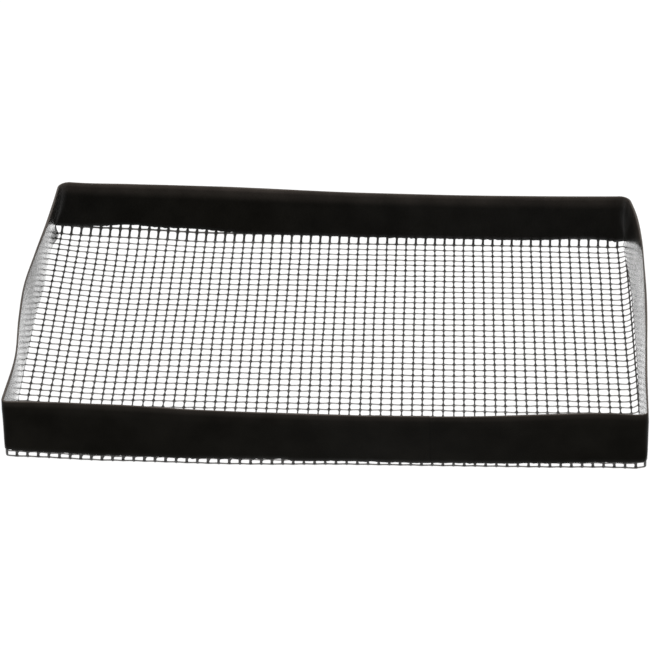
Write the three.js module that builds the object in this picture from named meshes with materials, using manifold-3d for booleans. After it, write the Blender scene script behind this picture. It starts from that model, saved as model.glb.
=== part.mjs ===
// Shallow open-mesh tray: one sheet of coated open-weave mesh folded up into a
// floor and four low flaps, and one strip of coated cloth folded lengthwise over
// the flaps' upper edges all the way round, with its two ends lapped on the front.
// Millimetres, +Z up, +X across the long side, front wall on the -Y side.
import * as THREE from "three";
import { mergeGeometries, mergeVertices } from "three/addons/utils/BufferGeometryUtils.js";
import Module from "manifold-3d";

const wasm = await Module();
wasm.setup();

// ---- driving dimensions -------------------------------------------------
const weavePitch = 5;              // thread to thread on the real mesh
const cellsAcross = 60;            // woven cells along the long side of the floor
const cellsDeep = 39;              // woven cells along the short side
const cellsPerOpening = 3;         // one modelled opening stands for 3 x 3 woven cells
const barWidth = 2.4;              // a modelled bar, standing for the threads it replaces
const meshThickness = 1.0;         // two coated threads where they cross

const trayHeight = 31;             // floor to rim
const cornerRadius = 6;            // outside of the mesh, seen from above
const windowLow = 2.3;             // the one row of bare mesh left under the strip
const windowHigh = 5.2;

const stripPly = 0.6;              // one thickness of the folded strip, with its coating
const outerPlyLow = 3.2;           // the outer ply comes down nearly to the floor
const innerPlyLow = 5.6;           // the inner ply stops one row of cells higher
const lapLength = 24;              // how far the strip's end runs over its beginning
const lapEdge = 49;                // where the lapping end stops, right of centre

const gap = 0.3;                   // left between pieces that touch

// ---- derived sizes ------------------------------------------------------
const floorWidth = cellsAcross * weavePitch;
const floorDepth = cellsDeep * weavePitch;
const openingPitch = cellsPerOpening * weavePitch;
const halfMesh = meshThickness / 2;
const wallX = floorWidth / 2 - halfMesh;        // middle plane of the side flaps
const wallY = floorDepth / 2 - halfMesh;        // middle plane of the front and back flaps
const bendRadius = cornerRadius - halfMesh;     // middle of the flap at a corner
const straightX = wallX - bendRadius;           // half of a straight run along X
const straightY = wallY - bendRadius;           // half of a straight run along Y
const stripInside = halfMesh + gap;             // strip's inner face, from the middle plane
const stripOutside = stripInside + stripPly;
const flapTop = trayHeight - stripOutside;      // the rim is a half round above this
const lapInside = stripOutside + gap;
const lapOutside = lapInside + stripPly;
const lapRise = lapOutside - stripOutside;      // how far the lap stands proud
const arcSteps = 8;
const rimSteps = 6;

// ---- materials ----------------------------------------------------------
const meshCoating = () => new THREE.MeshStandardMaterial({
  name: "mesh_coating", color: 0x17181a, roughness: 0.45, metalness: 0,
});
const stripCoating = () => new THREE.MeshStandardMaterial({
  name: "strip_coating", color: 0x0c0c0d, roughness: 0.4, metalness: 0,
});

// ---- helpers ------------------------------------------------------------
const group = new THREE.Group();
// The lap stands proud of the front only, so this puts the origin mid-footprint.
group.position.y = lapRise / 2;

function addPiece(name, geometry, material) {
  const piece = new THREE.Mesh(geometry, material);
  piece.name = name;
  group.add(piece);
  return piece;
}

// A closed geometry as a solid that can be cut.
function toSolid(geometry) {
  const bare = geometry.clone();
  bare.deleteAttribute("normal");
  bare.deleteAttribute("uv");
  const merged = mergeVertices(bare);
  return new wasm.Manifold(new wasm.Mesh({
    numProp: 3,
    vertProperties: new Float32Array(merged.attributes.position.array),
    triVerts: new Uint32Array(merged.index.array),
  }));
}

// The geometry with every one of the boxes cut out of it.
function cutOpenings(geometry, boxes) {
  const cut = toSolid(geometry).subtract(toSolid(mergeGeometries(boxes))).getMesh();
  const result = new THREE.BufferGeometry();
  result.setAttribute("position", new THREE.BufferAttribute(cut.vertProperties, cut.numProp));
  result.setIndex(new THREE.BufferAttribute(cut.triVerts, 1));
  return result;
}

function boxBetween(low, high) {
  const size = high.map((value, axis) => value - low[axis]);
  const middle = high.map((value, axis) => (value + low[axis]) / 2);
  return new THREE.BoxGeometry(...size).translate(...middle);
}

// Open stretches between bars on a regular pitch, from -half to +half, with a
// bar on every pitch line and a rail of the same width along both ends.
function openStretches(half) {
  const count = Math.round(2 * half / openingPitch);
  const stretches = [];
  for (let i = 0; i < count; i += 1) {
    const start = -half + i * openingPitch + (i === 0 ? barWidth : barWidth / 2);
    const end = -half + (i + 1) * openingPitch - (i === count - 1 ? barWidth : barWidth / 2);
    stretches.push([start, end]);
  }
  return stretches;
}

// A section given as [height, outward] points, swept along a path that runs
// clockwise seen from above, so that outward is on the path's left.
function sweep(section, path, steps) {
  const shape = new THREE.Shape(section.map(([height, out]) => new THREE.Vector2(-height, out)));
  return new THREE.ExtrudeGeometry(shape, { extrudePath: path, steps, bevelEnabled: false });
}

// The folded strip in section: up the outside, over the rim, down the inside.
function foldedStrip(inside, outside) {
  const over = (radius, from, to) => Array.from({ length: rimSteps + 1 }, (_, i) => {
    const angle = from + (to - from) * i / rimSteps;
    return [flapTop + radius * Math.sin(angle), radius * Math.cos(angle)];
  });
  return [
    [outerPlyLow, outside],
    ...over(outside, 0, Math.PI),
    [innerPlyLow, -outside],
    [innerPlyLow, -inside],
    ...over(inside, Math.PI, 0),
    [outerPlyLow, inside],
  ];
}

// ---- mesh sheet: floor ---------------------------------------------------
function meshFloor() {
  const x = floorWidth / 2 - cornerRadius;
  const y = floorDepth / 2 - cornerRadius;
  const outline = new THREE.Shape();
  outline.absarc(x, -y, cornerRadius, -Math.PI / 2, 0);
  outline.absarc(x, y, cornerRadius, 0, Math.PI / 2);
  outline.absarc(-x, y, cornerRadius, Math.PI / 2, Math.PI);
  outline.absarc(-x, -y, cornerRadius, Math.PI, 3 * Math.PI / 2);
  const sheet = new THREE.ExtrudeGeometry(outline, {
    depth: meshThickness, bevelEnabled: false, curveSegments: arcSteps / 2,
  });
  const openings = [];
  for (const [x0, x1] of openStretches(floorWidth / 2)) {
    for (const [y0, y1] of openStretches(floorDepth / 2)) {
      openings.push(boxBetween([x0, y0, -1], [x1, y1, meshThickness + 1]));
    }
  }
  return cutOpenings(sheet, openings);
}
addPiece("mesh_floor", meshFloor(), meshCoating());

// ---- mesh sheet: flaps folded up along the four sides ---------------------
// One row of openings stays bare under the strip; the rest is inside the strip.
function meshFlap(halfLength) {
  const sheet = boxBetween(
    [-halfLength, -halfMesh, meshThickness + gap],
    [halfLength, halfMesh, flapTop],
  );
  const openings = openStretches(halfLength).map(([start, end]) => (
    boxBetween([start, -meshThickness, windowLow], [end, meshThickness, windowHigh])
  ));
  return cutOpenings(sheet, openings);
}

const sides = [
  { name: "front", x: 0, y: -wallY, turn: 0, halfLength: straightX },
  { name: "right", x: wallX, y: 0, turn: Math.PI / 2, halfLength: straightY },
  { name: "back", x: 0, y: wallY, turn: Math.PI, halfLength: straightX },
  { name: "left", x: -wallX, y: 0, turn: -Math.PI / 2, halfLength: straightY },
];
for (const side of sides) {
  const flap = addPiece(`mesh_flap_${side.name}`, meshFlap(side.halfLength - gap / 2), meshCoating());
  flap.position.set(side.x, side.y, 0);
  flap.rotation.z = side.turn;
}

// ---- mesh sheet: the turned corners between the flaps ---------------------
const corners = [
  { name: "front_left", x: -straightX, y: -straightY, from: Math.PI },
  { name: "front_right", x: straightX, y: -straightY, from: 3 * Math.PI / 2 },
  { name: "back_right", x: straightX, y: straightY, from: 0 },
  { name: "back_left", x: -straightX, y: straightY, from: Math.PI / 2 },
];

// A quarter turn that stops short of both neighbours by half the gap.
function cornerArc(corner) {
  const trim = gap / 2 / bendRadius;
  const start = corner.from + Math.PI / 2 - trim;
  const end = corner.from + trim;
  const points = [];
  for (let i = 0; i <= arcSteps; i += 1) {
    const angle = start + (end - start) * i / arcSteps;
    points.push(new THREE.Vector3(
      corner.x + bendRadius * Math.cos(angle),
      corner.y + bendRadius * Math.sin(angle),
      0,
    ));
  }
  return new THREE.CatmullRomCurve3(points);
}

const flapSection = [
  [meshThickness + gap, -halfMesh],
  [meshThickness + gap, halfMesh],
  [flapTop, halfMesh],
  [flapTop, -halfMesh],
];
for (const corner of corners) {
  const geometry = sweep(flapSection, cornerArc(corner), arcSteps);
  addPiece(`mesh_corner_${corner.name}`, geometry, meshCoating());
}

// ---- folded strip: straight runs, corners and the lapped end --------------
const stripSection = foldedStrip(stripInside, stripOutside);
const lapSection = foldedStrip(lapInside, lapOutside);

function stripRun(name, section, from, to) {
  const path = new THREE.LineCurve3(new THREE.Vector3(...from, 0), new THREE.Vector3(...to, 0));
  addPiece(name, sweep(section, path, 1), stripCoating());
}

const endX = straightX - gap / 2;
const endY = straightY - gap / 2;
const lapStart = lapEdge - lapLength;
stripRun("strip_left", stripSection, [-wallX, -endY], [-wallX, endY]);
stripRun("strip_back", stripSection, [-endX, wallY], [endX, wallY]);
stripRun("strip_right", stripSection, [wallX, endY], [wallX, -endY]);
stripRun("strip_front_start", stripSection, [endX, -wallY], [lapStart, -wallY]);
stripRun("strip_front_end", stripSection, [lapStart - gap, -wallY], [-endX, -wallY]);
stripRun("strip_lapped_end", lapSection, [lapEdge, -wallY], [lapStart, -wallY]);
for (const corner of corners) {
  addPiece(`strip_corner_${corner.name}`, sweep(stripSection, cornerArc(corner), arcSteps), stripCoating());
}

export default group;
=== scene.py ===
"""A shallow tray of coated open-weave mesh, its walls bound by a folded cloth strip.

The mesh is woven thread by thread on one surface: a floor whose edges fold up
into four flaps. The strip is one long band folded lengthwise over the flaps,
with its last stretch lapped over its beginning on the front wall.
Metres, +Z up, +X across the long side, front wall on the -Y side.
"""
import math

import bpy
import numpy as np
from mathutils import Matrix, Vector


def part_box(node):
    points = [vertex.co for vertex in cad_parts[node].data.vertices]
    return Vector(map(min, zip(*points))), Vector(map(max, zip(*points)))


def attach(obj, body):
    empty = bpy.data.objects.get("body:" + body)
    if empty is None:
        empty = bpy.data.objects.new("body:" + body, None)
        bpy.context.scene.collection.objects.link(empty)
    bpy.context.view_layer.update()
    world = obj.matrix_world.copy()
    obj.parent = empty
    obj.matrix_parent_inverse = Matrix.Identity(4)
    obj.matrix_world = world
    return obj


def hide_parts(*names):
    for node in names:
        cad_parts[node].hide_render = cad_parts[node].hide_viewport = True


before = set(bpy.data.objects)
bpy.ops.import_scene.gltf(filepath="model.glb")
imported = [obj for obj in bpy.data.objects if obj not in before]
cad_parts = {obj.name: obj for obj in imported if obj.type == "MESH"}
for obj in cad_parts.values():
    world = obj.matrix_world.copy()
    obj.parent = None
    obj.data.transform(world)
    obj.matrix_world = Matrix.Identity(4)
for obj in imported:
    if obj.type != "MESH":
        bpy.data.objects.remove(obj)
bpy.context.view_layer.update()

MM = 0.001

# ---- sizes from the frame ---------------------------------------------------
floor_low, floor_high = (np.array(corner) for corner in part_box("mesh_floor"))
back_low, back_high = (np.array(corner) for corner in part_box("strip_back"))
lap_low, lap_high = (np.array(corner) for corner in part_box("strip_lapped_end"))

CELLS_ACROSS = 60
CELLS_DEEP = 39
PITCH = (floor_high[0] - floor_low[0]) / CELLS_ACROSS
CENTRE = (floor_low + floor_high) / 2
MID_Z = CENTRE[2]                                  # middle of the mesh's thickness
WALL_X = (floor_high[0] - floor_low[0]) / 2 - MID_Z
WALL_Y = (floor_high[1] - floor_low[1]) / 2 - MID_Z
RIM_Z = back_high[2]
LAP_START = lap_low[0]
LAP_END = lap_high[0]

# ---- the mesh ---------------------------------------------------------------
WARP_WIDTH = 0.60 * MM
WARP_THICK = 0.54 * MM
WARP_FLARE = 0.86 * MM         # how much wider a thread is where it crosses another
WEFT_WIDTH = 0.78 * MM
WEFT_THICK = 0.50 * MM
WEFT_FLARE = 0.52 * MM
FLARE_REACH = 0.40             # how far from a crossing it widens, in cells
FLARE_POWER = 1.2              # above 1 it widens more suddenly
KNOT_THICKER = 0.10 * MM       # how much thicker a thread is at a crossing
WEB_REACH = 1.22 * MM          # the coating that fills a crossing's corners, along the threads
WEB_CORNER = 0.92 * MM         # and between them
WEB_RISE = 0.6 * WARP_THICK    # and how far it stands out, at the crossing
WALL_COAT = 0.50 * MM          # extra width where the coating pooled on the flaps
CORNER_COAT = 1.10 * MM        # and on the threads that stand at the tray's corners
COAT_GROWS_OVER = 2 * MM
FRONT_FOLD_COAT = WALL_COAT / 2        # on the weft that lies along the front fold
BACK_FOLD_COAT = -WALL_COAT / 3        # the one along the back fold is thinner than the rest
CRIMP = 0.17 * MM              # how far threads rise and dip at their crossings
WEFT_CRIMP = 0.5               # share of it that the wefts have
FOLD_CRIMP = 0.35              # share of it left on a thread that lies along a fold
WEFT_WANDER = 0.16 * MM        # unevenness of the threads' spacing
WARP_WANDER = 0.09 * MM
WEFT_BOW = 0.10 * MM           # and how far a weft bows between two warps
PRESSED = 0.6                  # share of the crimp and thickness left inside the strip
PRESSED_FROM = 7.5 * MM
PRESSED_OVER = 2 * MM
FOLD_LEFT = 1.0 * MM           # bends between the floor and the flaps
FOLD_RIGHT = 3.4 * MM
FOLD_FRONT = 1.5 * MM
FOLD_BACK = 2.6 * MM
FOLD_CORNER = 0.9 * MM         # every bend is this tight where two folds meet
FOLD_EASES_OVER = 15 * MM
CORNER_FRONT = 2.2 * MM        # bends between two flaps, inside the strip
CORNER_BACK = 6.0 * MM
CORNER_GROWS_OVER = 24 * MM
FLAP_TOP = RIM_Z - 2.4 * MM
BARE_TO = 9 * MM               # above this the strip hides the mesh
THREAD_SIDES = 6
CELL_SAMPLES = (0.0, 0.13, 0.34, 0.66, 0.87)       # parts of a cell, denser at crossings
WEB_SPOKES = 8

# ---- the strip --------------------------------------------------------------
PLY = 0.26 * MM
RIM_HALF = 0.38 * MM           # from the middle of the flap to the middle of a ply, at the rim
BODY_HALF = 0.66 * MM          # and lower down, where the mesh is between the plies
WIDENS_OVER = 5.0 * MM
LAP_CLIMB = 5.0 * MM           # the lapped end rises over the start in this length
LAP_GAP = 0.04 * MM
RIB = 0.05 * MM                # the threads show through the strip this much
SWELL = 0.07 * MM              # and the cloth is uneven by this
FRAY = 0.16 * MM               # unevenness of the cut edges
EDGE_STEP_X = -17 * MM         # left of here the front's outer ply was cut shorter
EDGE_STEP = 1.2 * MM
EDGE_STEP_OVER = 3 * MM
SIDE_OUTER_EDGE = 5.4          # heights of cut edges that run level, mm
FRONT_INNER_EDGE = 5.6
BACK_OUTER_LOWER = 0.6         # the outer ply's edge on the back wall, below the inner one's
TUCK_BELOW = 10 * MM           # below this the side walls' inner ply stands off the mesh
STRIP_STEP = PITCH / 4         # between the sections of the strip's straight runs
CORNER_STEPS = 9               # sections round each corner
PLY_SAMPLES = 12               # points of a section up a ply
RIM_SAMPLES = 7                # and over the rim: odd, so that one is the very top

# Heights of the cut edges that wander, as (place along the wall, height), mm.
EDGES = {
    "front_outer": [(-150, 4.6), (-147.5, 3.5), (-144, 3.2), (-135, 3.2), (-118, 3.1),
                    (-82, 3.1), (-60, 3.1), (-35, 3.5), (-21, 3.6), (45, 3.4), (75, 3.3),
                    (110, 4.0), (129, 4.3), (143, 4.5), (150, 4.5)],
    "back_inner": [(-150, 4.8), (-140, 6.2), (-122, 7.6), (-112, 8.7), (-99, 8.0),
                   (-73, 8.1), (-50, 6.4), (-25, 6.1), (3, 5.6), (48, 5.3), (100, 5.1),
                   (138, 5.6), (146, 4.4), (150, 3.9)],
    "left_inner": [(-97, 4.4), (-20, 4.2), (15, 3.2), (45, 1.2), (97, 0.9)],
    "right_inner": [(-97, 2.8), (0, 2.2), (97, 2.4)],
}

# How far the side walls' inner ply stands off at its foot, as (place along the wall, gap), mm.
TUCK = {
    "left": [(-97, 0.2), (-30, 0.4), (16, 0.9), (45, 1.1), (75, 0.6), (86, 1.3), (97, 5.0)],
    "right": [(-97, 0.6), (85, 0.6), (97, 1.5)],
}

# ---- how the limp tray lies -------------------------------------------------
# How far each wall's rim leans out of upright, as (place along the wall, lean), mm.
LEAN = {
    "front": [(-150, -1.1), (-123, -2.7), (-102, -2.4), (-58, 1.0), (-20, 2.7), (5, 3.4),
              (36, 4.0), (52, 3.7), (72, 3.0), (91, 1.6), (110, 0.1), (127, -1.0), (150, 0.3)],
    "back": [(-150, 1.6), (-119, 3.8), (-98, 4.8), (-72, 6.5), (-46, 5.2), (-20, 3.5),
             (-2, 2.4), (47, 0.9), (99, 0.4), (150, 1.4)],
    "left": [(-97, 0.9), (-62, -1.1), (-29, 1.0), (2, 1.9), (29, -0.2), (57, -2.8),
             (76, -4.0), (97, -5.0)],
    "right": [(-97, -0.4), (-69, 0.4), (-44, 1.7), (-18, 3.1), (27, 4.4), (55, 4.4),
              (79, 2.7), (97, -0.5)],
}
RIM_RISE = 0.25 * MM           # the walls stand this much taller than upright ones

LEFT_LIFT_FRONT = 1.9 * MM     # how far the floor's left edge has lifted off the table
LEFT_LIFT_BACK = 5.1 * MM
LEFT_LIFT_FROM = 103 * MM      # to the left of the middle
LEFT_LIFT_OVER = 47 * MM
LEFT_LIFT_POWER = 1.6
BACK_SWELL = 1.9 * MM          # and its back edge, in one place
BACK_SWELL_X = -108 * MM
BACK_SWELL_HALF = 42 * MM
BACK_SWELL_FROM = 72 * MM
BACK_SWELL_OVER = 27 * MM
RIGHT_LIFT = 0.8 * MM          # and just beside the right fold
RIGHT_LIFT_FROM = 143 * MM
RIGHT_LIFT_OVER = 7 * MM

FRONT_BOW = 0.8 * MM           # how far the front fold bows outwards
FRONT_BOW_LESS = 0.5 * MM      # by how much less at its ends
FRONT_ENDS_FROM = 100 * MM
FRONT_ENDS_OVER = 30 * MM
FRONT_BULGE = 1.2 * MM         # and by how much more in one place
FRONT_BULGE_X = -42 * MM
FRONT_BULGE_HALF = 60 * MM
FRONT_BOW_REACH = 1 / 12       # it fades in this share of the tray's depth
LEFT_SPREAD = 0.4 * MM         # how far the floor is drawn out to the left
LEFT_SPREAD_FROM = 108 * MM
LEFT_SPREAD_OVER = 20 * MM
LEFT_SPREAD_REACH = 1 / 30     # it grows from the front in this share of the depth
LEFT_FOLD_FROM = 145.5 * MM    # the left fold is drawn out as far again
LEFT_FOLD_OVER = 3 * MM


def smooth_through(pairs, place):
    """A smooth curve through (place, value) pairs given in millimetres, in metres."""
    places, values = np.array(pairs, dtype=float).T * MM
    slopes = np.gradient(values, places)
    where = np.clip(place, places[0], places[-1])
    k = np.clip(np.searchsorted(places, where) - 1, 0, len(places) - 2)
    span = places[k + 1] - places[k]
    t = (where - places[k]) / span
    return ((1 + 2 * t) * (1 - t) ** 2 * values[k] + t * (1 - t) ** 2 * span * slopes[k]
            + t ** 2 * (3 - 2 * t) * values[k + 1] - t ** 2 * (1 - t) * span * slopes[k + 1])


def ease(t):
    t = np.clip(t, 0, 1)
    return t * t * (3 - 2 * t)


def mix(a, b, t):
    return a + (b - a) * t


def hump(x, middle, half_width):
    """A smooth bump, 1 at its middle and 0 beyond its half width."""
    return np.cos(np.clip((x - middle) / half_width, -1, 1) * math.pi / 2) ** 2


def curl(x, y, along):
    """How far the limp floor has lifted off the table, most of all at the left."""
    left_side = (mix(LEFT_LIFT_FRONT, LEFT_LIFT_BACK, along)
                 * np.clip((-x - LEFT_LIFT_FROM) / LEFT_LIFT_OVER, 0, 1) ** LEFT_LIFT_POWER)
    back_swell = (BACK_SWELL * hump(x, BACK_SWELL_X, BACK_SWELL_HALF)
                  * ease((y - BACK_SWELL_FROM) / BACK_SWELL_OVER))
    right_fold = RIGHT_LIFT * ease((x - RIGHT_LIFT_FROM) / RIGHT_LIFT_OVER)
    return left_side + back_swell + right_fold


def settle(points):
    """Bend the upright tray into the relaxed one: the floor curls, the walls lean."""
    x, y, z = points[..., 0], points[..., 1], points[..., 2]
    across = np.clip((x + WALL_X) / (2 * WALL_X), 0, 1)
    along = np.clip((y + WALL_Y) / (2 * WALL_Y), 0, 1)
    height = z / RIM_Z
    lean_x = mix(-smooth_through(LEAN["left"], y), smooth_through(LEAN["right"], y), across)
    lean_y = mix(-smooth_through(LEAN["front"], x), smooth_through(LEAN["back"], x), along)
    front_bow = (FRONT_BOW
                 - FRONT_BOW_LESS * ease((np.abs(x) - FRONT_ENDS_FROM) / FRONT_ENDS_OVER)
                 + FRONT_BULGE * hump(x, FRONT_BULGE_X, FRONT_BULGE_HALF))
    front_bow = -front_bow * ease(1 - along / FRONT_BOW_REACH)
    left_spread = -LEFT_SPREAD * (ease((-x - LEFT_SPREAD_FROM) / LEFT_SPREAD_OVER)
                                  * ease(along / LEFT_SPREAD_REACH)
                                  + ease((-x - LEFT_FOLD_FROM) / LEFT_FOLD_OVER))
    return np.stack([
        x + lean_x * height + left_spread * np.clip(1 - height, 0, 1),
        y + lean_y * height + front_bow * np.clip(1 - height, 0, 1),
        z + curl(x, y, along) + RIM_RISE * height,
    ], -1)


def place_in_frame(points):
    return points + np.array([CENTRE[0], CENTRE[1], 0])


def on_sheet(x, y, z, out):
    """Points on the mesh sheet, and its normals, away from the tray's inside.

    x, y, z lie on a square-edged box, z counted from the sheet's middle; the
    box's edges are rounded here. out moves the point along the normal.
    """
    sharp = np.stack(np.broadcast_arrays(x, y, z), -1).astype(float)
    wall = np.array([WALL_X, WALL_Y, 0.0])
    by_side, by_end = (ease(1 - (wall[k] - np.abs(sharp[..., k])) / FOLD_EASES_OVER)
                       for k in range(2))
    side_fold = mix(np.where(sharp[..., 0] < 0, FOLD_LEFT, FOLD_RIGHT), FOLD_CORNER, by_end)
    end_fold = mix(np.where(sharp[..., 1] < 0, FOLD_FRONT, FOLD_BACK), FOLD_CORNER, by_side)
    grown = ease(sharp[..., 2] / CORNER_GROWS_OVER)
    corner = np.where(sharp[..., 1] < 0, CORNER_FRONT, CORNER_BACK)
    soft = np.stack([mix(side_fold, corner, grown), mix(end_fold, corner, grown),
                     mix(end_fold, side_fold, by_side)], -1)
    core = np.clip(sharp, -wall + soft, wall - soft * [1, 1, 0] + [0, 0, 1])
    scaled = (sharp - core) / soft
    scaled /= np.linalg.norm(scaled, axis=-1, keepdims=True)
    normal = scaled / soft
    normal /= np.linalg.norm(normal, axis=-1, keepdims=True)
    point = core + scaled * soft + normal * np.asarray(out)[..., None]
    point[..., 2] += MID_Z
    return settle(point), normal


# ---- mesh building ----------------------------------------------------------
class Builder:
    """Collects vertices and faces, and makes one Blender object of them."""

    def __init__(self):
        self.points, self.faces, self.uvs, self.count = [], [], [], 0

    def add(self, points, faces, uvs):
        self.points.append(points)
        self.faces.extend([tuple(int(i) + self.count for i in face) for face in faces])
        self.uvs.append(uvs)
        self.count += len(points)

    def make(self, name, material, replaced):
        mesh = bpy.data.meshes.new(name)
        mesh.from_pydata(place_in_frame(np.concatenate(self.points)).tolist(), [], self.faces)
        mesh.polygons.foreach_set("use_smooth", [True] * len(mesh.polygons))
        mesh.set_sharp_from_angle(angle=math.radians(80))
        layer = mesh.uv_layers.new(name="cloth")
        corners = np.zeros(len(mesh.loops), dtype=np.int32)
        mesh.loops.foreach_get("vertex_index", corners)
        layer.data.foreach_set("uv", np.concatenate(self.uvs)[corners].ravel())
        mesh.materials.append(material)
        mesh.update()
        piece = bpy.data.objects.new(name, mesh)
        bpy.context.scene.collection.objects.link(piece)
        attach(piece, "root")
        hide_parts(*replaced)
        return piece


def ring_faces(rings, sides):
    """Quads of a tube of so many rings, and its two end caps."""
    faces = []
    for r in range(rings - 1):
        for k in range(sides):
            after = (k + 1) % sides
            faces.append((r * sides + k, r * sides + after,
                          (r + 1) * sides + after, (r + 1) * sides + k))
    faces.append(tuple(reversed(range(sides))))
    faces.append(tuple((rings - 1) * sides + k for k in range(sides)))
    return faces


def add_thread(builder, centres, normals, size):
    """A flat oval tube along the centres, its wide side on the sheet.

    size is what thread_size returns. The map holds the nearness to a crossing,
    which the material darkens partly as painted shade, and the place round the thread.
    """
    widths, thicks, near = size
    along = np.gradient(centres, axis=0)
    along /= np.linalg.norm(along, axis=1, keepdims=True)
    aside = np.cross(normals, along)
    aside /= np.linalg.norm(aside, axis=1, keepdims=True)
    up = np.cross(along, aside)
    angles = np.arange(THREAD_SIDES) * 2 * math.pi / THREAD_SIDES
    rings = (centres[:, None]
             + aside[:, None] * (np.cos(angles)[None, :, None] * widths[:, None, None] / 2)
             + up[:, None] * (np.sin(angles)[None, :, None] * thicks[:, None, None] / 2))
    uvs = np.stack([np.repeat(near, THREAD_SIDES), np.tile(angles / 10, len(centres))], -1)
    builder.add(rings.reshape(-1, 3), ring_faces(len(centres), THREAD_SIDES), uvs)


# ---- weaving ----------------------------------------------------------------
rng = np.random.default_rng(7)
FLAP_CELLS = FLAP_TOP / PITCH
warps = np.arange(CELLS_ACROSS + 1)
wefts = np.arange(CELLS_DEEP + 1)


def wander(rows, columns, amount, smoothness):
    """Uneven thread spacing: smooth random offsets, one row per thread."""
    raw = rng.normal(size=(rows, columns + 2 * smoothness))
    kernel = np.hanning(2 * smoothness + 3)[1:-1]
    kernel /= np.linalg.norm(kernel)
    smooth = np.array([np.convolve(line, kernel, "valid") for line in raw])
    return amount * smooth[:, :columns]


weft_shift = wander(CELLS_DEEP + 1, CELLS_ACROSS + 1, WEFT_WANDER, 4)      # [weft, warp]
warp_shift = wander(CELLS_ACROSS + 1, CELLS_DEEP + 1, WARP_WANDER, 5).T    # [weft, warp]
weft_bow = rng.normal(size=(CELLS_DEEP + 1, CELLS_ACROSS)) * WEFT_BOW


def shift_at(table, weft, warp):
    """The table read at fractional thread numbers, none beyond its ends."""
    weft = np.clip(weft, 0, CELLS_DEEP)
    warp = np.clip(warp, 0, CELLS_ACROSS)
    j = np.minimum(weft.astype(int), CELLS_DEEP - 1)
    i = np.minimum(warp.astype(int), CELLS_ACROSS - 1)
    s, t = weft - j, warp - i
    return ((1 - s) * ((1 - t) * table[j, i] + t * table[j, i + 1])
            + s * ((1 - t) * table[j + 1, i] + t * table[j + 1, i + 1]))


def sheet_from_threads(warp, weft):
    """Thread numbers to the square-edged box: what runs past a fold goes up its wall."""
    x = (warp - CELLS_ACROSS / 2) * PITCH
    y = (weft - CELLS_DEEP / 2) * PITCH
    inside = np.minimum(WALL_X - np.abs(x), WALL_Y - np.abs(y))
    uneven = ease(inside / PITCH)
    x = x + shift_at(warp_shift, weft, warp) * uneven
    y = y + shift_at(weft_shift, weft, warp) * uneven
    up = np.maximum(np.abs(x) - WALL_X, np.abs(y) - WALL_Y)
    return (np.clip(x, -WALL_X, WALL_X), np.clip(y, -WALL_Y, WALL_Y), np.maximum(up, 0))


def sample_places(cells):
    """Where a thread has a ring: finely where it is bare, once a cell in the strip."""
    bare = int(math.ceil(BARE_TO / PITCH))
    hidden = np.arange(bare + 1, int(FLAP_CELLS) + 1)
    fine = (np.arange(-bare, cells + bare)[:, None] + np.array(CELL_SAMPLES)).ravel()
    return np.concatenate([[-FLAP_CELLS], -hidden[::-1], fine, [cells + bare],
                           cells + hidden, [cells + FLAP_CELLS]])


def thread_size(place, width, thick, flare):
    """Width, thickness and nearness to a crossing: a thread is wider, and fused, there."""
    off = np.abs(place - np.round(place))
    near = np.clip(1 - off / FLARE_REACH, 0, 1) ** FLARE_POWER
    return width + flare * near, thick + KNOT_THICKER * near, near


def over_under(place, parity):
    """Crimp of a plain weave: out at one crossing, in at the next."""
    return CRIMP * np.cos(math.pi * (place + parity))


def along_fold(number, last):
    """True of a thread that lies along a fold."""
    return number in (0, last)


def pressed(height):
    """The strip presses the mesh flatter from just above its cut edges."""
    return mix(1.0, PRESSED, ease((height - PRESSED_FROM) / PRESSED_OVER))


def add_warp(builder, i):
    place = sample_places(CELLS_DEEP)
    x, y, z = sheet_from_threads(np.full_like(place, i), place)
    flat = pressed(z)
    folded = along_fold(i, CELLS_ACROSS)
    crimp = over_under(place, i) * flat * (FOLD_CRIMP if folded else 1)
    on_wall = ease(z / COAT_GROWS_OVER) * (CORNER_COAT if folded else WALL_COAT)
    thick = WARP_THICK * flat + (on_wall / 2 if folded else 0)
    size = thread_size(place, WARP_WIDTH + on_wall, thick, WARP_FLARE)
    add_thread(builder, *on_sheet(x, y, z, crimp), size)


def add_weft(builder, j):
    place = sample_places(CELLS_ACROSS)
    folded = along_fold(j, CELLS_DEEP)
    if folded:                     # the corner threads go up there instead
        place = place[(place >= 0) & (place <= CELLS_ACROSS)]
    x, y, z = sheet_from_threads(place, np.full_like(place, j))
    cell = np.clip(place.astype(int), 0, CELLS_ACROSS - 1)
    on_floor = (place > 0) & (place < CELLS_ACROSS) & (not folded)
    y = y + np.where(on_floor, weft_bow[j, cell] * np.sin(math.pi * (place - cell)), 0)
    flat = pressed(z)
    crimp = -over_under(place, j) * flat * (FOLD_CRIMP if folded else WEFT_CRIMP)
    coat = 0
    if folded:
        coat = FRONT_FOLD_COAT if j == 0 else BACK_FOLD_COAT
    size = thread_size(place, WEFT_WIDTH + coat, WEFT_THICK * flat + coat / 2, WEFT_FLARE)
    add_thread(builder, *on_sheet(x, y, z, crimp), size)


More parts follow.
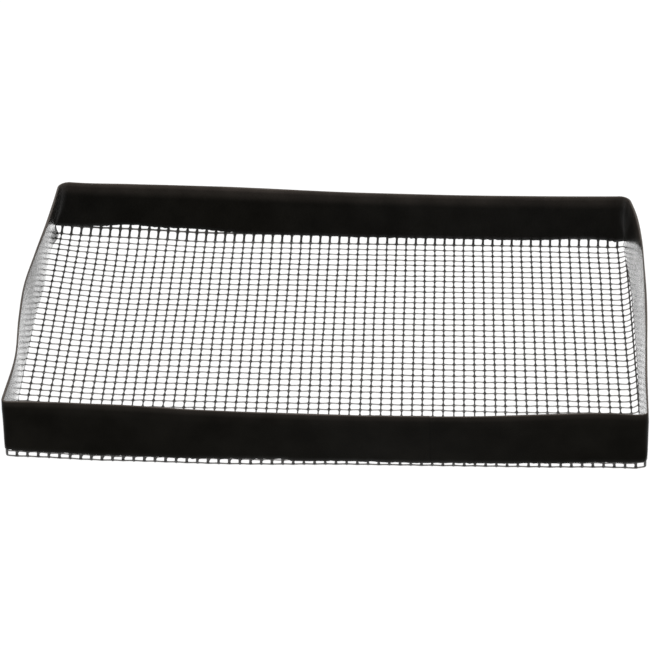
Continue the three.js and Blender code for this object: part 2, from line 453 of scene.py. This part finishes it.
def add_wall_threads(builder, side, cells):
    """A flap's level threads, parallel to its fold and so many cells long, up to its top."""
    for level in range(1, int(FLAP_CELLS) + 1):
        bare = level * PITCH < BARE_TO
        fine = (np.arange(cells)[:, None] + np.array(CELL_SAMPLES)).ravel()
        place = np.append(fine if bare else np.arange(cells), cells)
        up = np.full_like(place, level, dtype=float)
        across_wall = {"front": (place, -up), "back": (place, CELLS_DEEP + up),
                       "left": (-up, place), "right": (CELLS_ACROSS + up, place)}
        x, y, z = sheet_from_threads(*across_wall[side])
        flat = pressed(z)
        size = thread_size(place, WEFT_WIDTH + WALL_COAT / 2, WEFT_THICK * flat, WEFT_FLARE)
        crimp = -over_under(place, level) * flat * WEFT_CRIMP
        add_thread(builder, *on_sheet(x, y, z, crimp), size)


def add_web(builder, i, j):
    """The coating that fills the four corners where two threads cross."""
    angles = np.arange(WEB_SPOKES) * 2 * math.pi / WEB_SPOKES
    reach = np.where(np.arange(WEB_SPOKES) % 2 == 0, WEB_REACH, WEB_CORNER) / PITCH
    warp = np.append(i + np.cos(angles) * reach, [i, i])
    weft = np.append(j + np.sin(angles) * reach, [j, j])
    out = np.concatenate([np.zeros(WEB_SPOKES), [WEB_RISE, -WEB_RISE]])
    points, _ = on_sheet(*sheet_from_threads(warp, weft), out)
    faces = []
    for k in range(WEB_SPOKES):
        after = (k + 1) % WEB_SPOKES
        faces.append((after, k, WEB_SPOKES))
        faces.append((k, after, WEB_SPOKES + 1))
    # A nearness of 1 gives the webs the crossings' darkest tone, partly painted shade.
    builder.add(points, faces, np.ones((len(points), 2)))


# ---- the folded strip -------------------------------------------------------
def perimeter(step):
    """Walk round the walls once and over the lap, from the start of the strip.

    Returns each place's point, its outward direction, the way it moves where the
    corner's radius grows, and the length walked.
    """
    front, back = CORNER_FRONT, CORNER_BACK
    front_x, back_x = WALL_X - front, WALL_X - back
    front_y, back_y = -(WALL_Y - front), WALL_Y - back
    runs = [((LAP_START, -WALL_Y), (front_x, -WALL_Y), (0, -1)),
            ((front_x, front_y), front, -90),
            ((WALL_X, front_y), (WALL_X, back_y), (1, 0)),
            ((back_x, back_y), back, 0),
            ((back_x, WALL_Y), (-back_x, WALL_Y), (0, 1)),
            ((-back_x, back_y), back, 90),
            ((-WALL_X, back_y), (-WALL_X, front_y), (-1, 0)),
            ((-front_x, front_y), front, 180),
            ((-front_x, -WALL_Y), (LAP_END, -WALL_Y), (0, -1))]
    points, outward, growth = [], [], []
    for k, run in enumerate(runs):
        if k % 2:
            centre, radius, start = run
            angles = np.radians(start + np.linspace(0, 90, CORNER_STEPS + 2)[1:-1])
            way = np.stack([np.cos(angles), np.sin(angles)], -1)
            points.append(np.array(centre) + radius * way)
            outward.append(way)
            growth.append(way - np.sign(centre))
        else:
            start, end, way = (np.array(part, dtype=float) for part in run)
            count = max(2, int(round(np.linalg.norm(end - start) / step)) + 1)
            t = np.linspace(0, 1, count)[:, None]
            points.append(start + (end - start) * t)
            outward.append(np.tile(way, (count, 1)))
            growth.append(np.zeros((count, 2)))
    points = np.concatenate(points)
    walked = np.concatenate([[0], np.cumsum(np.linalg.norm(np.diff(points, axis=0), axis=1))])
    return points, np.concatenate(outward), np.concatenate(growth), walked


def lap_growth(walked, total):
    """How far the lapped end stands off: nothing, then one ply, over its climb."""
    lap = LAP_END - LAP_START
    return (PLY + LAP_GAP) * ease((walked - (total - lap - LAP_CLIMB)) / LAP_CLIMB)


def strip_section(grow, low_outer, low_inner, tuck):
    """One closed section, as (height, outward), all round the folded strip."""
    fold_z = RIM_Z - RIM_HALF - PLY / 2

    def standing_off(height):
        return tuck * np.clip(1 - height / TUCK_BELOW, 0, 1) ** 2

    def face(offset):
        """One face of the cloth: up the outer ply, over the rim, down the inner ply."""
        def ply(low):
            height = np.linspace(low, fold_z, PLY_SAMPLES)
            half = mix(RIM_HALF, BODY_HALF, ease((fold_z - height) / WIDENS_OVER))
            return height, half + offset + grow
        radius = RIM_HALF + offset + grow
        turn = np.linspace(0, math.pi, RIM_SAMPLES + 2)[1:-1]
        outer_z, outer_half = ply(low_outer + PLY / 4)
        inner_z, inner_half = ply(low_inner + PLY / 4)
        inner_half = inner_half + standing_off(inner_z)
        return np.concatenate([
            np.stack([outer_z, outer_half], -1),
            np.stack([fold_z + radius * np.sin(turn), radius * np.cos(turn)], -1),
            np.stack([inner_z, -inner_half], -1)[::-1],
        ])

    outside, inside = face(PLY / 2), face(-PLY / 2)
    middle = BODY_HALF + grow
    inner_middle = middle + standing_off(low_inner)
    inner_edge = [(low_inner, -inner_middle - PLY / 4), (low_inner, -inner_middle + PLY / 4)]
    outer_edge = [(low_outer, middle - PLY / 4), (low_outer, middle + PLY / 4)]
    return np.concatenate([outside, inner_edge, inside[::-1], outer_edge])


def cut_edges(path, outward):
    """Heights of both plies' cut edges along the path, and how far the inner one stands off."""
    x, y = path.T
    facing = outward[:, 1] ** 2                # 1 on the front and back walls, 0 on the sides
    front, left = outward[:, 1] < 0, outward[:, 0] < 0
    back_inner = smooth_through(EDGES["back_inner"], x)
    front_outer = (smooth_through(EDGES["front_outer"], x)
                   + EDGE_STEP * ease((EDGE_STEP_X - x) / EDGE_STEP_OVER + 0.5))
    side_inner = np.where(left, smooth_through(EDGES["left_inner"], y),
                          smooth_through(EDGES["right_inner"], y))
    outer = np.where(front, front_outer, back_inner - BACK_OUTER_LOWER * MM)
    inner = np.where(front, FRONT_INNER_EDGE * MM, back_inner)
    tuck = np.where(left, smooth_through(TUCK["left"], y), smooth_through(TUCK["right"], y))
    ragged = rng.normal(size=(2, len(path))) * FRAY
    return (mix(SIDE_OUTER_EDGE * MM, outer, facing) + ragged[0],
            mix(side_inner, inner, facing) + ragged[1], tuck * (1 - facing ** 2))


def strip_relief(x, y, height, walked):
    """Small swells: the threads beneath show as ribs, and the cloth is not flat."""
    along = np.where(np.abs(y) > WALL_Y - CORNER_FRONT / 2, x + WALL_X, y + WALL_Y)
    rib = np.cos(math.pi * along / PITCH) ** 12
    bar = np.cos(math.pi * height / PITCH) ** 12
    swell = (np.sin(walked * 87 + 3 * np.sin(height * 90))
             + np.sin(walked * 41 - height * 60 + 2)) * SWELL
    return RIB * np.maximum(rib, 0.6 * bar) + swell


def build_strip(material):
    path, outward, growth, walked = perimeter(STRIP_STEP)
    grow = lap_growth(walked, walked[-1])
    low_outer, low_inner, tuck = cut_edges(path, outward)
    sections, uvs = [], []
    for k in range(len(path)):
        section = strip_section(grow[k], low_outer[k], low_inner[k], tuck[k])
        height, out = section[:, 0], section[:, 1]
        relief = strip_relief(*path[k], height, walked[k])
        out = out + np.where(out > 0, relief, -relief)
        corner = CORNER_FRONT if path[k, 1] < 0 else CORNER_BACK
        smaller = mix(FOLD_CORNER, corner, ease(height / CORNER_GROWS_OVER)) - corner
        flat = path[k] + outward[k] * out[:, None] + growth[k] * smaller[:, None]
        sections.append(np.column_stack([flat, height]))
        round_section = np.concatenate([[0], np.cumsum(np.hypot(*np.diff(section, axis=0).T))])
        round_section -= round_section[PLY_SAMPLES + RIM_SAMPLES // 2]     # 0 along the rim
        uvs.append(np.stack([np.full(len(section), walked[k]), round_section], -1))
    builder = Builder()
    builder.add(settle(np.concatenate(sections)), ring_faces(len(sections), len(sections[0])),
                np.concatenate(uvs))
    nodes = [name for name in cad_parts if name.startswith("strip_")]
    piece = builder.make("rim_strip", material, nodes)
    return piece


# ---- materials --------------------------------------------------------------
STRIP_TONES = (0.0022, 0.0020, 0.0016), (0.0036, 0.0033, 0.0027)
# Tone of the painted highlight along the rim, where the light above reflects.
RIM_HIGHLIGHT_TONE = (0.0320, 0.0270, 0.0235)
WARP_TONES = (0.0100, 0.0092, 0.0085), (0.0240, 0.0223, 0.0204)
# The wefts' tones, lighter than the warps': partly a greyer coating, partly a painted highlight
# of the white light along the glossy wefts.
WEFT_GREY_AND_HIGHLIGHT_TONES = (0.0400, 0.0375, 0.0350), (0.0900, 0.0850, 0.0800)
# The crossings' tone: partly the coating pooled there, partly painted shade of the crevices
# between the threads.
KNOT_POOL_AND_SHADE_TONE = (0.0060, 0.0056, 0.0050)
RIM_HIGHLIGHT_TO = 8 * MM               # no painted highlight further from the rim than this
# How bright the painted highlight along the rim is, standing in for the light above reflected
# on the rim, from that far down its outer face, over the rim at 0.5, to that far down its inner
# one, as (place, share).
RIM_HIGHLIGHT_SHARES = [(0.0, 0.0), (0.25, 0.03), (0.44, 0.22), (0.50, 1.0), (0.56, 0.60), (0.68, 0.26),
            (1.0, 0.0)]
FACES_MEET = 1 * MM            # the outer face turns into the inner one this near the rim
STRIP_ROUGHNESS = 0.16, 0.22   # of the outer face, and of the inner one, which is shinier
STRIP_SPECULAR = 0.06, 0.5
STRIP_RELIEF = 0.06, 0.8
RELIEF_DEPTH = 0.10 * MM
BLOTCH_SCALE = 60
GRAIN_SCALE = 900
WEAVE_SCALE = 520
FINE_SHARE = 0.22              # of the weave and grain in the relief
STREAK_SHARE = 1.5             # and of the streaks that run up and down the strip
STREAK_SCALE = 380
STREAK_STRETCH = 0.22
WARP_ROUGHNESS = 0.42
WEFT_ROUGHNESS = 0.48
ROUGHNESS_VARIES = 0.06
THREAD_BLOTCH_SCALE = 240
THREAD_GRAIN_SCALE = 1800
THREAD_RELIEF_DEPTH = 0.06 * MM
KNOT_POOL_AND_SHADE_FROM = 0.35          # nearness to a crossing where a thread starts to darken, with pooled coating and painted shade
KNOT_POOL_AND_SHADE_TO = 0.85
COATING_IOR = 1.36
STRIP_FACE_ON = 0.01           # share of the plain reflection that is left, seen face on
THREAD_FACE_ON = 0.8


def new_material(name):
    material = bpy.data.materials.new(name)
    material.use_nodes = True
    nodes = material.node_tree.nodes
    return material, nodes, material.node_tree.links, nodes["Principled BSDF"]


def noise_at(nodes, links, coords, scale, detail=3.0):
    node = nodes.new("ShaderNodeTexNoise")
    node.inputs["Scale"].default_value = scale
    node.inputs["Detail"].default_value = detail
    links.new(coords, node.inputs["Vector"])
    return node.outputs["Fac"]


def map_range(nodes, links, value, start, end, low=0.0, high=1.0):
    """The value's place from start to end, as a value from low to high."""
    node = nodes.new("ShaderNodeMapRange")
    node.inputs["From Min"].default_value = start
    node.inputs["From Max"].default_value = end
    node.inputs["To Min"].default_value = low
    node.inputs["To Max"].default_value = high
    links.new(value, node.inputs["Value"])
    return node.outputs["Result"]


def ranged(nodes, links, noise, low, high):
    """A noise's usual values as values from low to high."""
    return map_range(nodes, links, noise, 0.3, 0.7, low, high)


def cloth_map(nodes, links):
    """The map that Builder wrote: itself, and its two coordinates."""
    uv = nodes.new("ShaderNodeUVMap")
    uv.uv_map = "cloth"
    parts = nodes.new("ShaderNodeSeparateXYZ")
    links.new(uv.outputs["UV"], parts.inputs[0])
    return uv.outputs["UV"], parts.outputs["X"], parts.outputs["Y"]


def feed(links, socket, value):
    """Set a socket to a number, or link it to a node's output."""
    if isinstance(value, (int, float)):
        socket.default_value = value
    else:
        links.new(value, socket)


def math_node(nodes, links, kind, a, b):
    node = nodes.new("ShaderNodeMath")
    node.operation = kind
    feed(links, node.inputs[0], a)
    feed(links, node.inputs[1], b)
    return node.outputs["Value"]


def two_tone(nodes, links, value, dark, light):
    ramp = nodes.new("ShaderNodeValToRGB")
    ramp.color_ramp.elements[0].position = 0.35
    ramp.color_ramp.elements[0].color = (*dark, 1)
    ramp.color_ramp.elements[1].position = 0.7
    ramp.color_ramp.elements[1].color = (*light, 1)
    links.new(value, ramp.inputs["Fac"])
    return ramp.outputs["Color"]


def bump(nodes, links, height, strength, distance):
    node = nodes.new("ShaderNodeBump")
    feed(links, node.inputs["Strength"], strength)
    node.inputs["Distance"].default_value = distance
    links.new(height, node.inputs["Height"])
    return node.outputs["Normal"]


def coating_gloss(shader, face_on):
    """A fluoropolymer coating: it reflects far more at a low angle than face on."""
    shader.inputs["IOR"].default_value = COATING_IOR
    shader.inputs["Specular Tint"].default_value = (face_on, face_on, face_on, 1)
    shader.inputs["Metallic"].default_value = 0.0


def painted_rim_highlight(nodes, links, across):
    """Painted highlight of the light above on the strip: most along the rim, and further down
    on its inner face.
    """
    ramp = nodes.new("ShaderNodeValToRGB")
    ramp.color_ramp.interpolation = "EASE"
    elements = ramp.color_ramp.elements
    for place, value in RIM_HIGHLIGHT_SHARES[1:-1]:
        elements.new(place)
    for element, (place, value) in zip(elements, RIM_HIGHLIGHT_SHARES):
        element.position = place
        element.color = (value, value, value, 1)
    links.new(map_range(nodes, links, across, -RIM_HIGHLIGHT_TO, RIM_HIGHLIGHT_TO), ramp.inputs["Fac"])
    return ramp.outputs["Color"]


def by_face(nodes, links, across, outer, inner):
    """One value on the strip's outer face, turning into another on its inner face."""
    return map_range(nodes, links, across, -FACES_MEET, FACES_MEET, outer, inner)


def mixed(nodes, links, share, a, b):
    """Colours a to b by a share; b is a plain colour."""
    node = nodes.new("ShaderNodeMix")
    node.data_type = "RGBA"
    colours = [socket for socket in node.inputs if socket.type == "RGBA"]
    links.new(share, node.inputs["Factor"])
    links.new(a, colours[0])
    colours[1].default_value = (*b, 1)
    return next(socket for socket in node.outputs if socket.type == "RGBA")


def strip_material():
    material, nodes, links, shader = new_material("strip_coating_black")
    coating_gloss(shader, STRIP_FACE_ON)
    uv, _, across = cloth_map(nodes, links)
    place = nodes.new("ShaderNodeTexCoord").outputs["Object"]
    waves = []
    for direction in ("X", "Y"):
        wave = nodes.new("ShaderNodeTexWave")
        wave.bands_direction = direction
        wave.inputs["Scale"].default_value = WEAVE_SCALE
        wave.inputs["Distortion"].default_value = 0.6
        wave.inputs["Detail"].default_value = 1.0
        links.new(uv, wave.inputs["Vector"])
        waves.append(wave.outputs["Fac"])
    weave = math_node(nodes, links, "MULTIPLY", *waves)
    grain = noise_at(nodes, links, place, GRAIN_SCALE, 4)
    steep = nodes.new("ShaderNodeMapping")
    steep.inputs["Scale"].default_value = (1, STREAK_STRETCH, 1)
    links.new(uv, steep.inputs["Vector"])
    streaks = noise_at(nodes, links, steep.outputs["Vector"], STREAK_SCALE, 1)
    fine = math_node(nodes, links, "ADD", weave, grain)
    height = math_node(nodes, links, "ADD",
                       math_node(nodes, links, "MULTIPLY", fine, FINE_SHARE),
                       math_node(nodes, links, "MULTIPLY", streaks, STREAK_SHARE))
    relief = by_face(nodes, links, across, *STRIP_RELIEF)
    links.new(bump(nodes, links, height, relief, RELIEF_DEPTH), shader.inputs["Normal"])

    blotch = noise_at(nodes, links, place, BLOTCH_SCALE)
    # The lighter band along the rim is a painted highlight, not wear.
    highlit = math_node(nodes, links, "MULTIPLY", painted_rim_highlight(nodes, links, across),
                     ranged(nodes, links, blotch, 0.7, 1.2))
    base = two_tone(nodes, links, blotch, *STRIP_TONES)
    links.new(mixed(nodes, links, highlit, base, RIM_HIGHLIGHT_TONE), shader.inputs["Base Color"])
    roughness = math_node(nodes, links, "MULTIPLY", ranged(nodes, links, blotch, 0.85, 1.15),
                          by_face(nodes, links, across, *STRIP_ROUGHNESS))
    links.new(roughness, shader.inputs["Roughness"])
    links.new(by_face(nodes, links, across, *STRIP_SPECULAR),
              shader.inputs["Specular IOR Level"])
    return material


def thread_material(name, dark, light, roughness):
    """The threads' coating, darker at the crossings: partly coating pooled there, partly
    painted shade of the crevices.
    """
    material, nodes, links, shader = new_material(name)
    coating_gloss(shader, THREAD_FACE_ON)
    place = nodes.new("ShaderNodeTexCoord").outputs["Object"]
    blotch = noise_at(nodes, links, place, THREAD_BLOTCH_SCALE)
    grain = noise_at(nodes, links, place, THREAD_GRAIN_SCALE, 4)
    _, near, _ = cloth_map(nodes, links)
    base = two_tone(nodes, links, blotch, dark, light)
    pooled_and_shaded = map_range(nodes, links, near, KNOT_POOL_AND_SHADE_FROM, KNOT_POOL_AND_SHADE_TO)
    # Darker near the crossings: pooled coating, and painted shade of the crevices.
    links.new(mixed(nodes, links, pooled_and_shaded, base, KNOT_POOL_AND_SHADE_TONE), shader.inputs["Base Color"])
    links.new(ranged(nodes, links, blotch, roughness - ROUGHNESS_VARIES,
                     roughness + ROUGHNESS_VARIES), shader.inputs["Roughness"])
    links.new(bump(nodes, links, grain, 0.5, THREAD_RELIEF_DEPTH), shader.inputs["Normal"])
    return material


# ---- camera, light and stage ------------------------------------------------
LENS = 166.2
CAMERA_AT = Vector((0.0478, -1.233, 0.831))        # from the middle of the floor
CAMERA_ELEVATION = 33.51                           # degrees, as are the next two
CAMERA_YAW = 2.39
CAMERA_ROLL = 0.54
BOX_AT = (0, -0.15, 1.2)
BOX_SIZE = (1.4, 1.0)
BOX_POWER = 50
SKY = 0.8
FLOOR_GLOW = 2.25              # the table glows past white, as a lit one does
FLOOR_HALF = 6.0
FLOOR_Z = -0.2 * MM


def add_camera():
    """A long lens, nearly straight on to the front wall and looking down on it."""
    data = bpy.data.cameras.new("camera")
    data.lens = LENS
    data.sensor_width = 36.0
    data.clip_end = 20.0
    camera = bpy.data.objects.new("camera", data)
    bpy.context.scene.collection.objects.link(camera)
    elevation, yaw, roll = map(math.radians, (CAMERA_ELEVATION, CAMERA_YAW, CAMERA_ROLL))
    ahead = Vector((-math.sin(yaw) * math.cos(elevation), math.cos(yaw) * math.cos(elevation),
                    -math.sin(elevation)))
    right = ahead.cross(Vector((0, 0, 1))).normalized()
    up = right.cross(ahead)
    turn = Matrix.Rotation(roll, 3, ahead)
    basis = Matrix((turn @ right, turn @ up, turn @ -ahead)).transposed()
    floor_middle = Vector((CENTRE[0], CENTRE[1], MID_Z))
    camera.matrix_world = Matrix.Translation(floor_middle + CAMERA_AT) @ basis.to_4x4()
    bpy.context.scene.camera = camera


def add_light():
    """A wide soft box above the tray, and an even white room."""
    world = bpy.data.worlds.new("studio")
    world.use_nodes = True
    background = world.node_tree.nodes["Background"]
    background.inputs["Color"].default_value = (1, 1, 1, 1)
    background.inputs["Strength"].default_value = SKY
    bpy.context.scene.world = world
    bpy.context.scene.view_settings.view_transform = "Standard"
    data = bpy.data.lights.new("soft_box", "AREA")
    data.shape = "RECTANGLE"
    data.size, data.size_y = BOX_SIZE
    data.energy = BOX_POWER
    box = bpy.data.objects.new("soft_box", data)
    box.location = BOX_AT
    bpy.context.scene.collection.objects.link(box)


def add_stage():
    """A white table: plain white to the camera, and brighter to what it lights."""
    mesh = bpy.data.meshes.new("studio_floor")
    corners = [(x * FLOOR_HALF, y * FLOOR_HALF, FLOOR_Z)
               for x, y in ((-1, -1), (1, -1), (1, 1), (-1, 1))]
    mesh.from_pydata(corners, [], [(0, 1, 2, 3)])
    material, nodes, links, shader = new_material("studio_white")
    shader.inputs["Base Color"].default_value = (0, 0, 0, 1)
    shader.inputs["Roughness"].default_value = 0.9
    shader.inputs["Emission Color"].default_value = (1, 1, 1, 1)
    seen = nodes.new("ShaderNodeLightPath").outputs["Is Camera Ray"]
    links.new(map_range(nodes, links, seen, 0, 1, FLOOR_GLOW, 1.0),
              shader.inputs["Emission Strength"])
    mesh.materials.append(material)
    floor = bpy.data.objects.new("studio_floor", mesh)
    bpy.context.scene.collection.objects.link(floor)


# ---- make everything --------------------------------------------------------
add_camera()
add_light()
add_stage()

warp_coat = thread_material("warp_coating_black", *WARP_TONES, WARP_ROUGHNESS)
# The wefts' lighter tone is partly a painted highlight.
weft_coat = thread_material("weft_grey_and_painted_highlight", *WEFT_GREY_AND_HIGHLIGHT_TONES, WEFT_ROUGHNESS)

warp_builder = Builder()
for i in warps:
    add_warp(warp_builder, i)
for side in ("left", "right"):
    add_wall_threads(warp_builder, side, CELLS_DEEP)
warp_piece = warp_builder.make("warp_threads", warp_coat,
                               ["mesh_floor", "mesh_flap_front", "mesh_flap_back"])

weft_builder = Builder()
for i in warps:
    for j in range(CELLS_DEEP + 2):        # the last is the back flap's lowest level thread
        add_web(weft_builder, i, j)
for j in wefts:
    add_weft(weft_builder, j)
for side in ("front", "back"):
    add_wall_threads(weft_builder, side, CELLS_ACROSS)
corners = [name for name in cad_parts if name.startswith("mesh_corner_")]
weft_piece = weft_builder.make("weft_threads", weft_coat,
                               ["mesh_flap_left", "mesh_flap_right", *corners])

build_strip(strip_material())
